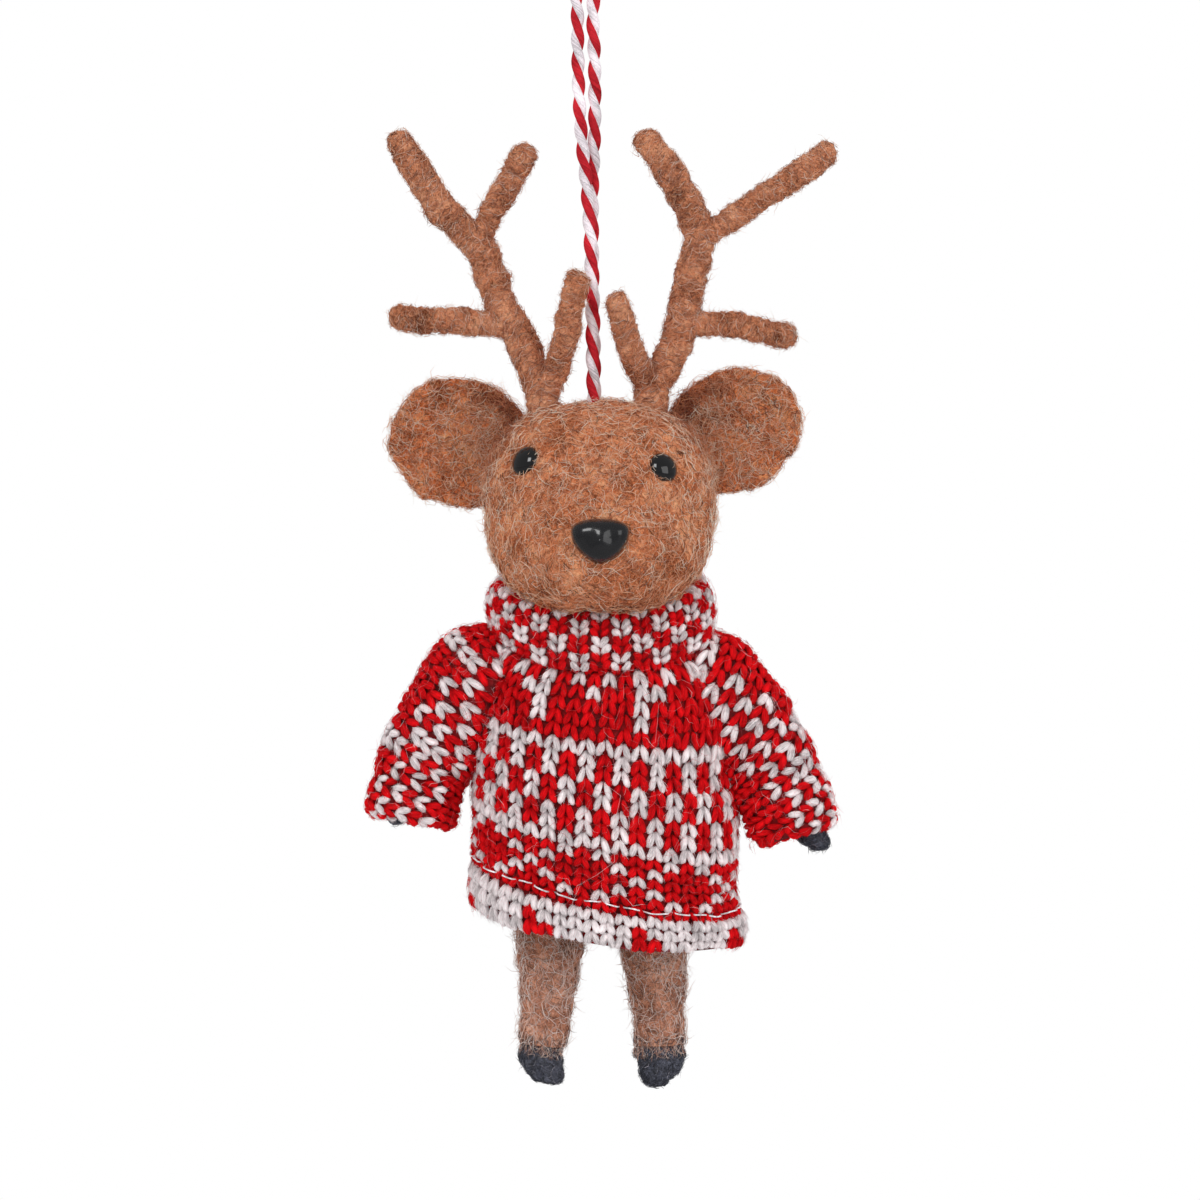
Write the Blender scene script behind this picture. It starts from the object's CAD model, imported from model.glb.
"""A needle-felted reindeer ornament in a knitted jumper, hung on a doubled baker's twine.

Metres, +Z up, the face looks to -Y. The origin is the underside of the twine's top bend.
Left and right are those of the picture: left lies to -X.
"""

import bpy
import numpy as np
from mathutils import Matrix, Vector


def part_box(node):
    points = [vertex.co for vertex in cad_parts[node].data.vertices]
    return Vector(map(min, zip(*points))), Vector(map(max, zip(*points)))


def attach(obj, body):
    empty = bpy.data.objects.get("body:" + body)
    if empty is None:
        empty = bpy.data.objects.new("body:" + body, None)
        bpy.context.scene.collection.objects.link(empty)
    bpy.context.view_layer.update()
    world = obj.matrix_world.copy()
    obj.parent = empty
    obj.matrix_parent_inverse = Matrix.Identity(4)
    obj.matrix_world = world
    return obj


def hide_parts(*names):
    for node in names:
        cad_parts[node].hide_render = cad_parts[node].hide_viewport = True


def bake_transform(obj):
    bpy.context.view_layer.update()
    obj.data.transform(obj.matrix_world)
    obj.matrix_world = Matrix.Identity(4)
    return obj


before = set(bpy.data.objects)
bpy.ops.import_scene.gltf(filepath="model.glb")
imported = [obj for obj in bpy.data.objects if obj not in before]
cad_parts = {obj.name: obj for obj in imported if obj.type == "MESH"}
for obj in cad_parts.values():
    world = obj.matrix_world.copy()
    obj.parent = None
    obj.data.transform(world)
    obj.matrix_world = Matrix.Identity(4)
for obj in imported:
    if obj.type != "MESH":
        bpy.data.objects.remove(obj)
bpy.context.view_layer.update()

# The picture: a level camera straight in front, soft white light from all round, and a
# pale floor well below the hooves that fades into the white backdrop.

MM = 0.001
PICTURE_CENTRE = (1.96 * MM, -98 * MM)
CAMERA_DISTANCE = 0.7
CAMERA_LENS = 150
LIGHTS = {  # place, size and power
    "key_light": ((-0.25, -0.75, 0.45), 0.35, 1.95),
    "fill_light": ((0.6, -0.55, 0.1), 0.5, 0.9),
    "rear_light": ((0.2, 0.7, 0.35), 0.5, 1.5),
}
LIGHTS_AIM = Vector((PICTURE_CENTRE[0], 0, -0.1))
WORLD_LIGHT = 0.65
GLOSS_DIMMING = 0.4
FLOOR_LEVEL = -0.3
FLOOR_RADIUS = 3.0
FLOOR_FADE = (0.25, 0.7)
FLOOR_PALENESS = (0.92, 0.3)  # to the eye, and in glossy reflections


def dye(red, green, blue):
    """A colour of 0 to 255 screen values, each turned to linear light by the sRGB curve."""
    share = np.array([red, green, blue]) / 255
    linear = np.where(share <= 0.04045, share / 12.92, ((share + 0.055) / 1.055) ** 2.4)
    return (*linear.tolist(), 1.0)


def add_object(name, data):
    """An object of some data, put in the scene."""
    made = bpy.data.objects.new(name, data)
    bpy.context.scene.collection.objects.link(made)
    return made


def put_mesh(name, points, faces, material, marks=None):
    """A mesh object of points (n, 3) and arrays of faces, each (m, corners).

    The faces are turned round together if they enclose a negative volume, which is a sixth
    of the sum over their fans of corner . (corner x corner). marks are values for each point.
    """
    fans = [f[:, [0, i, i + 1]] for f in faces for i in range(1, f.shape[1] - 1)]
    a, b, c = np.moveaxis(points[np.concatenate(fans)], 1, 0)
    if (a * np.cross(b, c)).sum() < 0:
        faces = [f[:, ::-1] for f in faces]
    mesh = bpy.data.meshes.new(name)
    mesh.vertices.add(len(points))
    mesh.vertices.foreach_set("co", points.astype(np.float32).ravel())
    corners = np.concatenate([f.ravel() for f in faces]).astype(np.int32)
    counts = np.concatenate([np.full(len(f), f.shape[1]) for f in faces])
    starts = np.concatenate([[0], np.cumsum(counts)[:-1]]).astype(np.int32)
    mesh.loops.add(len(corners))
    mesh.loops.foreach_set("vertex_index", corners)
    mesh.polygons.add(len(counts))
    mesh.polygons.foreach_set("loop_start", starts)
    mesh.polygons.foreach_set("use_smooth", np.ones(len(counts), bool))
    mesh.update(calc_edges=True)
    for mark, values in (marks or {}).items():
        kind, key = ("FLOAT_VECTOR", "vector") if values.ndim == 2 else ("FLOAT", "value")
        attribute = mesh.attributes.new(mark, kind, "POINT")
        attribute.data.foreach_set(key, values.astype(np.float32).ravel())
    mesh.materials.append(material)
    return add_object(name, mesh)


class Nodes:
    """Builds a tree of shader nodes: each method adds one and gives what it puts out."""

    def __init__(self, tree):
        self.tree = tree

    def feed(self, node, inputs):
        """Links each input, named or numbered, to a socket, or sets it to a value."""
        for key, value in inputs.items():
            if isinstance(value, bpy.types.NodeSocket):
                self.tree.links.new(value, node.inputs[key])
            else:
                node.inputs[key].default_value = value

    def add(self, kind, inputs=None, **options):
        """A node with its options set and its inputs fed."""
        node = self.tree.nodes.new(f"ShaderNode{kind}")
        for option, value in options.items():
            setattr(node, option, value)
        self.feed(node, inputs or {})
        return node

    def place(self):
        return self.add("TexCoord").outputs["Object"]

    def mark(self, name, kind="Fac"):
        return self.add("Attribute", attribute_name=name).outputs[kind]

    def math(self, operation, *values):
        return self.add("Math", dict(enumerate(values)), operation=operation).outputs[0]

    def noise(self, place, scale, detail, **more):
        inputs = {"Vector": place, "Scale": scale, "Detail": detail, **more}
        return self.add("TexNoise", inputs).outputs["Fac"]

    def remap(self, value, start, end, low=0, high=1, **options):
        inputs = {"Value": value, "From Min": start, "From Max": end, "To Min": low,
                  "To Max": high}
        return self.add("MapRange", inputs, **options).outputs[0]

    def mix(self, share, first, second):
        inputs = {"Factor": share, "A": first, "B": second}
        return self.add("Mix", inputs, data_type="RGBA").outputs["Result"]

    def ramp(self, share, tints):
        """The colour at a share, on a ramp through tints of screen values by position."""
        node = self.add("ValToRGB", {"Fac": share})
        stops = [(position, dye(*tint)) for position, tint in tints.items()]
        elements = node.color_ramp.elements
        for end in (0, 1):
            elements[end].position, elements[end].color = stops[-end]
        for position, colour in stops[1:-1]:
            elements.new(position).color = colour
        return node.outputs["Color"]

    def bump(self, height, distance, strength=1):
        inputs = {"Height": height, "Distance": distance, "Strength": strength}
        return self.add("Bump", inputs).outputs[0]

    def seen_white(self, rays):
        """1 for rays that look at the backdrop: from the camera or through glass."""
        return self.math("MAXIMUM", rays["Is Camera Ray"], rays["Is Transmission Ray"])


def new_material(name):
    """A node material, with the builder of its tree and its shader."""
    material = bpy.data.materials.new(name)
    material.use_nodes = True
    tree = material.node_tree
    return material, Nodes(tree), tree.nodes["Principled BSDF"]


camera_data = bpy.data.cameras.new("camera")
camera_data.lens = CAMERA_LENS
camera_data.sensor_width = 36
camera = add_object("camera", camera_data)
camera.location = (PICTURE_CENTRE[0], -CAMERA_DISTANCE, PICTURE_CENTRE[1])
camera.rotation_euler = (np.pi / 2, 0, 0)
bpy.context.scene.camera = camera
bpy.context.scene.view_settings.view_transform = "Standard"
for name, (place, size, power) in LIGHTS.items():
    softbox = bpy.data.lights.new(name, "AREA")
    softbox.size = size
    softbox.energy = power
    lamp = add_object(name, softbox)
    lamp.location = place
    lamp.rotation_euler = (LIGHTS_AIM - lamp.location).to_track_quat("-Z", "Y").to_euler()

world = bpy.data.worlds.new("studio")
world.use_nodes = True
bpy.context.scene.world = world
nodes = Nodes(world.node_tree)
rays = nodes.add("LightPath").outputs
light = nodes.remap(nodes.seen_white(rays), 0, 1, WORLD_LIGHT, 1)
# dark cards round the studio keep the beads and the nose black: dimming * the glossy rays
light = nodes.math("MULTIPLY_ADD", rays["Is Glossy Ray"], -GLOSS_DIMMING, light)
nodes.feed(world.node_tree.nodes["Background"], {"Color": (1, 1, 1, 1), "Strength": light})

floor_paint, nodes, shader = new_material("floor_paint")
rays = nodes.add("LightPath").outputs
paleness = nodes.remap(rays["Is Glossy Ray"], 0, 1, *FLOOR_PALENESS)
nodes.feed(shader, {"Roughness": 0.9, "Base Color": paleness})
far = nodes.add("VectorMath", {0: nodes.place()}, operation="LENGTH").outputs["Value"]
fade = nodes.remap(far, *FLOOR_FADE, interpolation_type="SMOOTHSTEP")
faded = nodes.math("MULTIPLY", fade, nodes.seen_white(rays))
glow = nodes.add("Emission").outputs[0]
mixed = nodes.add("MixShader", {"Fac": faded, 1: shader.outputs[0], 2: glow})
nodes.feed(floor_paint.node_tree.nodes["Material Output"], {"Surface": mixed.outputs[0]})
floor_corners = np.array([[-1, -1, 0], [1, -1, 0], [1, 1, 0], [-1, 1, 0]]) * FLOOR_RADIUS
floor = put_mesh("floor", floor_corners, [np.array([[0, 1, 2, 3]])], floor_paint)
floor.location = (0, 0, FLOOR_LEVEL)

# The hanging twine: two-ply cotton baker's twine, one ply dyed red and one left white,
# doubled into a loop, with both ends pulled down into the crown of the head.

TWINE_DIAMETER = 1.9 * MM
PLY_DIAMETER = 1.2 * MM
PLY_SIDES = 10
TWINE_LAY = 6.4 * MM
FIGURE_SHIFT = 2 * MM
CROWN_DROP = 70.4 * MM
RED_COTTON = dye(196, 40, 50)
WHITE_COTTON = dye(246, 236, 242)
TWINE_ROUTE = [
    [-1, -1.17, -77], [-1, -1.17, -73.5], [-1.01, -1.17, -70], [-1.13, -1.17, -62],
    [-1.23, -1.17, -54], [-1.49, -1.17, -46], [-1.92, -1.13, -40], [-2.56, -0.83, -34],
    [-2.96, -0.4, -28], [-3.14, -0.16, -22], [-3.31, 0, -14.5], [-4.1, 0, -10],
    [-5.7, 0, -6.2], [-6.3, 0, -3.35], [-5.04, 0, -0.31], [-2, 0, 0.95], [1.04, 0, -0.31],
    [2.3, 0, -3.35], [1.7, 0, -6.2], [0.1, 0, -10], [-0.97, 0, -14.5], [-0.82, 0.16, -22],
    [-0.76, 0.4, -28], [-0.85, 0.83, -34], [-1.08, 1.13, -40], [-1.1, 1.17, -46],
    [-1.02, 1.17, -54], [-0.85, 1.17, -62], [-0.8, 1.17, -70], [-0.9, 1.17, -73.5],
    [-1, 1.17, -77],
]


def smooth_path(places, count):
    """Evenly spaced points on the centripetal Catmull-Rom curve through some places.

    Each stretch is a cubic from its two ends and its two end slopes, where a slope is the
    rate of the neighbouring chords, timed by the square roots of their lengths.
    """
    p = np.vstack([2 * places[0] - places[1], places, 2 * places[-1] - places[-2]])
    gap = np.sqrt(np.linalg.norm(np.diff(p, axis=0), axis=1))[:, None]
    rate = np.diff(p, axis=0) / gap
    slope = rate[:-1] - (p[2:] - p[:-2]) / (gap[:-1] + gap[1:]) + rate[1:]
    t = np.linspace(0, 1, 40, endpoint=False)[None, :, None]
    start, end = places[:-1, None], places[1:, None]
    leave, arrive = (slope[:-1] * gap[1:-1])[:, None], (slope[1:] * gap[1:-1])[:, None]
    curve = start * (2 * t**3 - 3 * t**2 + 1) + end * (3 * t**2 - 2 * t**3)
    curve = curve + leave * (t**3 - 2 * t**2 + t) + arrive * (t**3 - t**2)
    curve = np.vstack([curve.reshape(-1, 3), places[-1:]])
    way = path_way(curve)
    even = np.linspace(0, way[-1], count)
    return np.stack([np.interp(even, way, curve[:, axis]) for axis in range(3)], axis=1)


def path_way(path):
    """How far along a path each of its points lies."""
    return np.concatenate([[0], np.cumsum(np.linalg.norm(np.diff(path, axis=0), axis=1))])


def unit(vectors):
    """Vectors divided by their lengths."""
    return vectors / np.maximum(np.linalg.norm(vectors, axis=-1, keepdims=True), 1e-12)


def turns(count):
    """Angles spread evenly over a full turn."""
    return np.arange(count) * 2 * np.pi / count


def path_sides(path, across=(0, 1, 0)):
    """Two directions square to a path: across x tangent, and the tangent x that."""
    along = unit(np.gradient(path, axis=0))
    side = unit(np.cross(across, along))
    return side, np.cross(along, side)


def tube_grid(path, radius, sides, across=(0, 1, 0), depth=1):
    """Rings round a path: middle + radius (cos a * side + depth * sin a * front)."""
    side, front = path_sides(path, across)
    angle = turns(sides)[None, :, None]
    spokes = np.cos(angle) * side[:, None] + depth * np.sin(angle) * front[:, None]
    return path[:, None] + np.broadcast_to(radius, len(path))[:, None, None] * spokes


def grid_quads(rows, columns, closed=False):
    """Quads over a grid of rings. A closed one also joins its last ring to its first."""
    row, column = np.meshgrid(np.arange(rows - (not closed)), np.arange(columns), indexing="ij")
    below, after = (row + 1) % rows * columns, (column + 1) % columns
    row = row * columns
    quads = np.stack([row + column, row + after, below + after, below + column], axis=-1)
    return quads.reshape(-1, 4)


def skin_faces(rows, columns):
    """Quads that join the rings of a grid, and a fan from each end ring to its own pole."""
    ring, last, pole = np.arange(columns), (rows - 1) * columns, np.full(columns, rows * columns)
    turned = (ring + 1) % columns
    top = np.stack([turned, ring, pole], axis=1)
    foot = np.stack([ring + last, turned + last, pole + 1], axis=1)
    return [grid_quads(rows, columns), np.vstack([top, foot])]


def with_poles(values, ends):
    """A grid's values in one list, followed by the first and the last of its ends."""
    return np.concatenate([values.reshape(-1, *values.shape[2:]), ends[:1], ends[-1:]])


def skin(name, grid, material, marks=None):
    """One closed mesh of a grid of rings, with poles in the middle of its two end rings."""
    kept = {mark: with_poles(values, values[:, 0]) for mark, values in (marks or {}).items()}
    points = with_poles(grid, grid.mean(axis=1))
    return put_mesh(name, points, skin_faces(*grid.shape[:2]), material, kept)


def twine_plies(name, path, across=(0, 1, 0)):
    """Two plies round a path in one mesh, each a tube on its own helix.

    The helix is the path moved off by half the free width, at an angle that grows by a full
    turn in each lay. The mark strand holds the place on the ply's skin, for its threads.
    """
    side, front = path_sides(path, across)
    way = np.linspace(0, path_way(path)[-1], len(path))[:, None]
    points, strand = [], []
    for ply in range(2):
        turn = -way / TWINE_LAY * 2 * np.pi + ply * np.pi
        off = (TWINE_DIAMETER - PLY_DIAMETER) / 2 * (np.cos(turn) * side + np.sin(turn) * front)
        grid = tube_grid(path + off, PLY_DIAMETER / 2, PLY_SIDES, across)
        points.append(with_poles(grid, grid.mean(axis=1)))
        angle = turns(PLY_SIDES) - turn * 1.6
        place = np.stack([np.cos(angle), np.sin(angle), way / PLY_DIAMETER + 0 * angle], axis=-1)
        strand.append(with_poles(place, place[:, 0]))
    faces = [np.vstack([f, f + len(points[0])]) for f in skin_faces(*grid.shape[:2])]
    marks = {"dyed": np.repeat([0.0, 1.0], len(points[0])), "strand": np.vstack(strand)}
    return put_mesh(name, np.vstack(points), faces, cotton, marks)


def yarn_material(name, red, white, streak, relief, blotch):
    """Spun yarn in two dyes: streaks of single threads drawn out along each strand.

    The mark dyed picks the dye, the mark strand carries noise that is fine round the strand
    and long along it, and a broad noise over the object makes the dye a little uneven.
    """
    material, nodes, shader = new_material(name)
    stretch = nodes.add("Mapping", {"Vector": nodes.mark("strand", "Vector"), "Scale": streak})
    threads = nodes.noise(stretch.outputs[0], 1, 6, Roughness=0.65)
    depth = nodes.math("MULTIPLY_ADD", threads, 1.6, nodes.noise(nodes.place(), blotch, 3))
    inputs = {0: nodes.mix(nodes.mark("dyed"), red, white),
              "Scale": nodes.remap(depth, 0.95, 1.65, 0.45, 1.5)}
    tinted = nodes.add("VectorMath", inputs, operation="SCALE").outputs[0]
    nodes.feed(shader, {"Roughness": 0.95, "Specular IOR Level": 0.08, "Sheen Weight": 0.35,
                        "Sheen Roughness": 0.5, "Sheen Tint": tinted, "Base Color": tinted,
                        "Normal": nodes.bump(threads, relief, 0.8)})
    return material


def dress(slot, body, *pieces):
    """Puts pieces in a material slot and has them ride on a body."""
    for piece in pieces:
        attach(piece, body)


cotton = yarn_material("twine_cotton", RED_COTTON, WHITE_COTTON, (3, 3, 0.35), 0.08 * MM, 300)
twine_path = smooth_path(np.array(TWINE_ROUTE) * MM + [FIGURE_SHIFT, 0, 0], 420)
hanging_twine = twine_plies("hanging_twine", twine_path)
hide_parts("hanging_cord")
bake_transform(hanging_twine)

# The knot inside the crown: both ends of the twine are tied into one overhand knot below
# the bore, so that the loop can't pull out of the felt.

KNOT_COIL_RADIUS = 2.4 * MM
turn = np.linspace(0, 4 * np.pi, 200)
swing = 2 + np.cos(1.5 * turn)
knot_path = KNOT_COIL_RADIUS / 2 * np.stack(
    [swing * np.cos(turn), swing * np.sin(turn), np.sin(1.5 * turn)], axis=1)
knot_middle = np.array(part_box("cord_knot")).mean(axis=0)
knot_path += knot_middle - (knot_path.min(0) + knot_path.max(0)) / 2
crown_knot = twine_plies("crown_knot", knot_path, across=(0, 0, 1))
dress("twine", "cord_end", crown_knot)
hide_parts("cord_knot")

# The head: a firm ball of needle-felted wool, its muzzle and jaw built up in front. The
# barbed needle leaves short curled fibres lying all over it, and paler guard hairs.

HEAD_WIDTH = 31.8 * MM
HEAD_DEPTH = 28 * MM
HEAD_HEIGHT = 29.8 * MM
MUZZLE_REACH = 4.2 * MM
JAW_REACH = 5.5 * MM
JAW_NARROWING = 0.05
HEAD_SQUARENESS = 2.4
CHIN_SHADE = 0.14
CHIN_SHADE_TOP = 21 * MM
CHIN_SHADE_FADE = 9 * MM
CROWN = np.array([FIGURE_SHIFT, 0, -CROWN_DROP])
FELT_TINTS = {0: (84, 42, 24), 0.35: (182, 98, 58), 0.65: (224, 144, 100),
              0.85: (250, 196, 158), 1: (255, 240, 220)}


def lumps(points, size, seed):
    """Smooth uneven height of about -1 to 1: the sum of 24 plane waves of random heading.

    Each is the cosine of a phase plus the point . heading, with lengths from 0.7 to 1.6
    times the size.
    """
    rng = np.random.default_rng(seed)
    heading = unit(rng.normal(size=(24, 3))) * 2 * np.pi / (size * rng.uniform(0.7, 1.6, (24, 1)))
    phase = rng.uniform(0, 2 * np.pi, 24)
    return np.cos(points @ heading.T + phase).sum(-1) / np.sqrt(24)


def grid_normals(grid):
    """Outward normals of a grid of rings: the cross product of its two ways, as unit vectors."""
    around = np.roll(grid, -1, axis=1) - np.roll(grid, 1, axis=1)
    normal = unit(np.cross(around, np.gradient(grid, axis=0)))
    return normal * np.sign(((grid - grid.mean(axis=1, keepdims=True)) * normal).sum())


def matted(grid, heights, seed):
    """A felt surface: the grid moved along its normals by lumps of each (size, height) in mm."""
    lift = sum(height * MM * lumps(grid, size * MM, seed + i)
               for i, (size, height) in enumerate(heights))
    return grid + grid_normals(grid) * lift[..., None]


def curled_lines(nodes, place, scale, width):
    """Thin curled lines where a smooth noise crosses its middle: 1 on a line and 0 off it."""
    field = nodes.noise(place, scale, 2, Distortion=0.7)
    return nodes.remap(nodes.math("ABSOLUTE", nodes.math("SUBTRACT", field, 0.5)), width, 0)


def felt_material(name, dark, middle, light, relief=0.14 * MM):
    """Matted wool: swirled noise in three shades, crossed by curled dark and light fibres.

    The mark shadow, where a piece has one, draws the shades down towards the dark one.
    """
    material, nodes, shader = new_material(name)
    place = nodes.place()
    swirl = nodes.noise(place, 1500, 8, Roughness=0.75, Distortion=1.5)
    both = nodes.math("MULTIPLY_ADD", swirl, 1.5, nodes.noise(place, 210, 3))
    spread = nodes.remap(nodes.math("SUBTRACT", both, nodes.mark("shadow")), 0.98, 1.5)
    colour = nodes.ramp(spread, {0: dark, 0.5: middle, 1: light})
    pits = curled_lines(nodes, place, 1100, 0.03)
    strands = curled_lines(nodes, place, 1900, 0.035)
    pit_tint = (*(0.45 * part for part in dye(*dark)[:3]), 1)
    for line, tint in ((pits, pit_tint), (strands, dye(*light))):
        colour = nodes.mix(nodes.math("MULTIPLY", line, 0.7), colour, tint)
    raised = nodes.math("MULTIPLY_ADD", strands, 0.35, swirl)
    nodes.feed(shader, {"Roughness": 0.95, "Specular IOR Level": 0.15, "Sheen Weight": 0.2,
                        "Sheen Roughness": 0.6, "Sheen Tint": colour, "Base Color": colour,
                        "Normal": nodes.bump(raised, relief)})
    return material


def fibre_material(name, tints):
    """Single wool fibres: the mark tint of each fibre picks its shade from the tints."""
    material, nodes, shader = new_material(name)
    nodes.feed(shader, {"Roughness": 0.7, "Specular IOR Level": 0.3, "Sheen Weight": 0.15,
                        "Base Color": nodes.ramp(nodes.mark("tint"), tints)})
    return material


def between(values, row, column, u, v):
    """A grid's values at the shares u round and v down of its cells, by bilinear shares."""
    after = (column + 1) % values.shape[1]
    upper = values[row, column] * (1 - u) + values[row, after] * u
    lower = values[row + 1, column] * (1 - u) + values[row + 1, after] * u
    return upper * (1 - v) + lower * v


def strew(grid, count, rng):
    """Random places on a grid, evenly by area: points, normals and the way round the ring.

    A cell is drawn with a chance that goes with its area, and then a place in it.
    """
    right = np.roll(grid, -1, axis=1)
    area = np.linalg.norm(np.cross(right[:-1] - grid[:-1], grid[1:] - grid[:-1]), axis=-1)
    cell = rng.choice(area.size, count, p=(area / area.sum()).ravel())
    row, column = np.divmod(cell, grid.shape[1])
    place = (row, column, *rng.uniform(size=(2, count, 1)))
    around = unit(right[row, column] - grid[row, column])
    return between(grid, *place), unit(between(grid_normals(grid), *place)), around


def spindle_faces(count, rings, sides):
    """The faces of many spindles, each of some rings between two end points."""
    i, after = np.arange(sides), (np.arange(sides) + 1) % sides
    last = 1 + (rings - 1) * sides
    fans = np.vstack([np.stack([0 * i, after + 1, i + 1], 1),
                      np.stack([i + last, after + last, 0 * i + last + sides], 1)])
    first = (np.arange(count) * (rings * sides + 2))[:, None, None]
    return [(fans + first).reshape(-1, 3), (grid_quads(rings, sides) + 1 + first).reshape(-1, 4)]


def fibres(name, grid, material, count, size, stray, tint, seed, heading=None, spread=0.5,
           keep=None, shadow=None):
    """Many curled fibres on a grid's surface in one mesh, each a thin closed spindle.

    A fibre's middle line is place + way * (t - 1/2) * length + side * curl * waves
    + normal * arch * 4 t (1 - t), and a share stray of them lifts one end instead. size is
    the length, width and arch in mm, and tint the shade's mean, its spread and what a stray
    adds. heading is the angle from the way round the ring, with a spread, or none for any
    way. keep picks places, and shadow gives how much darker the fibres are there.
    """
    rng = np.random.default_rng(seed)
    length, width, arch = np.array(size) * MM
    place, normal, around = strew(grid, count, rng)
    if keep is not None:
        kept = keep(place)
        place, normal, around = place[kept], normal[kept], around[kept]
        count = len(place)
    angle = rng.uniform(0, 2 * np.pi, count)
    if heading is not None:
        angle = heading + rng.normal(0, spread, count) + np.pi * rng.integers(0, 2, count)
    angle = angle[:, None]
    way = np.cos(angle) * around + np.sin(angle) * np.cross(normal, around)
    reach = length * rng.uniform(0.45, 1.35, count)
    lifted = rng.uniform(size=count) < stray
    rise = np.where(lifted, 0, arch * rng.uniform(0.2, 1.3, count))
    tip = np.where(lifted, reach * rng.uniform(0.15, 0.5, count), 0)
    bow = reach * rng.normal(0, 0.16, count)
    wave = reach * rng.uniform(0.04, 0.14, count)
    phase = rng.uniform(0, 2 * np.pi, count)
    t = np.array([0, 0.22, 0.5, 0.78, 1])[None, :]
    swing = bow[:, None] * 4 * t * (1 - t) + wave[:, None] * np.sin(phase[:, None] + t * 7)
    height = rise[:, None] * 4 * t * (1 - t) + tip[:, None] * t**2 - 0.25 * width
    line = place[:, None] + way[:, None] * ((t - 0.5) * reach[:, None])[..., None]
    line = line + np.cross(normal, way)[:, None] * swing[..., None]
    line = line + normal[:, None] * height[..., None]
    corner = turns(3)[None, :, None]
    across = np.cos(corner) * normal[:, None] + np.sin(corner) * np.cross(way, normal)[:, None]
    thick = width / 2 * rng.uniform(0.6, 1.3, (count, 1)) * [0.75, 1, 0.75]
    rings = line[:, 1:4, None] + across[:, None] * thick[..., None, None]
    points = np.concatenate([line[:, :1], rings.reshape(count, 9, 3), line[:, 4:]], axis=1)
    shade = rng.normal(tint[0], tint[1], count) + lifted * tint[2]
    if shadow is not None:
        shade = shade - shadow(place)
    return put_mesh(name, points.reshape(-1, 3), spindle_faces(count, 3, 3), material,
                    {"tint": np.repeat(np.clip(shade, 0, 1), 11)})


def head_skin(way, grow=0.0):
    """The head in the direction way: a rounded box, x^p + y^p + z^p = 1 with p = 2.4.

    In front a bell-shaped push makes the muzzle, and below a smooth step makes the jaw.
    """
    fill = (np.abs(way) ** HEAD_SQUARENESS).sum(-1) ** (-1 / HEAD_SQUARENESS)
    x, y, z = np.moveaxis(way, -1, 0)
    bell = np.exp(-(x**2 + (z + 0.3) ** 2) / 0.56**2)
    push = np.where(y < 0, MUZZLE_REACH * bell * np.clip(-2 * y, 0, 1), 0)
    low = np.clip(-1.1 * z, 0, 1)
    fall = low**2 * (3 - 2 * low)
    half = np.array([HEAD_WIDTH, HEAD_DEPTH, HEAD_HEIGHT]) / 2
    box = way * fill[..., None] * (half + grow)
    narrowing = JAW_NARROWING * fall * box[..., 0]
    shift = np.stack([narrowing, push + JAW_REACH * fall, 0 * x + half[2]], axis=-1)
    return CROWN + box - shift


def ball_ways(rows, columns):
    """Directions over a ball, ring by ring from its top to its foot."""
    polar = (np.arange(rows) + 0.5)[:, None] / rows * np.pi
    around = np.arange(columns)[None, :] / columns * 2 * np.pi
    return np.stack([np.sin(polar) * np.cos(around), np.sin(polar) * np.sin(around),
                     np.cos(polar) + 0 * around], axis=-1)


def chin_shadow(places):
    """The shade that grows below the nose, where the head turns away from the light."""
    drop = CROWN[2] - CHIN_SHADE_TOP - places[..., 2]
    return CHIN_SHADE * np.clip(drop / CHIN_SHADE_FADE, 0, 1)


def felted(name, kind, grid, material, node, slot, body, fill=1, shadow=None, **layers):
    """A padded piece of felt in place of its plain solid, under layers of loose fibres."""
    felt = skin(f"{name}_{kind}", grid, material, shadow and {"shadow": shadow(grid)})
    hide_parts(node)
    strewn = [fibres(f"{name}_{layer}", grid, *laid, shadow=shadow)
              for layer, laid in layers.items()]
    dress(slot, body, felt, *strewn)


wool = felt_material("tan_felt", (118, 58, 32), (222, 128, 82), (255, 190, 144))
wool_fibre = fibre_material("tan_fibre", FELT_TINTS)
head_grid = matted(head_skin(ball_ways(130, 200)), [(7, 0.22), (2.2, 0.12), (0.9, 0.06)], 11)
felted("head", "felt", head_grid, wool, "head", "felt_tan", "figure", shadow=chin_shadow,
       curls=(wool_fibre, 10500, (2, 0.09, 0.2), 0.06, (0.52, 0.3, 0.1), 12),
       hairs=(wool_fibre, 5200, (2.9, 0.075, 0.55), 0.34, (0.88, 0.13, 0.05), 13))

# The ears: two flat felted pads, cupped in front and a little darker there, with their
# roots felted to the sides of the head behind its widest line.

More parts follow.
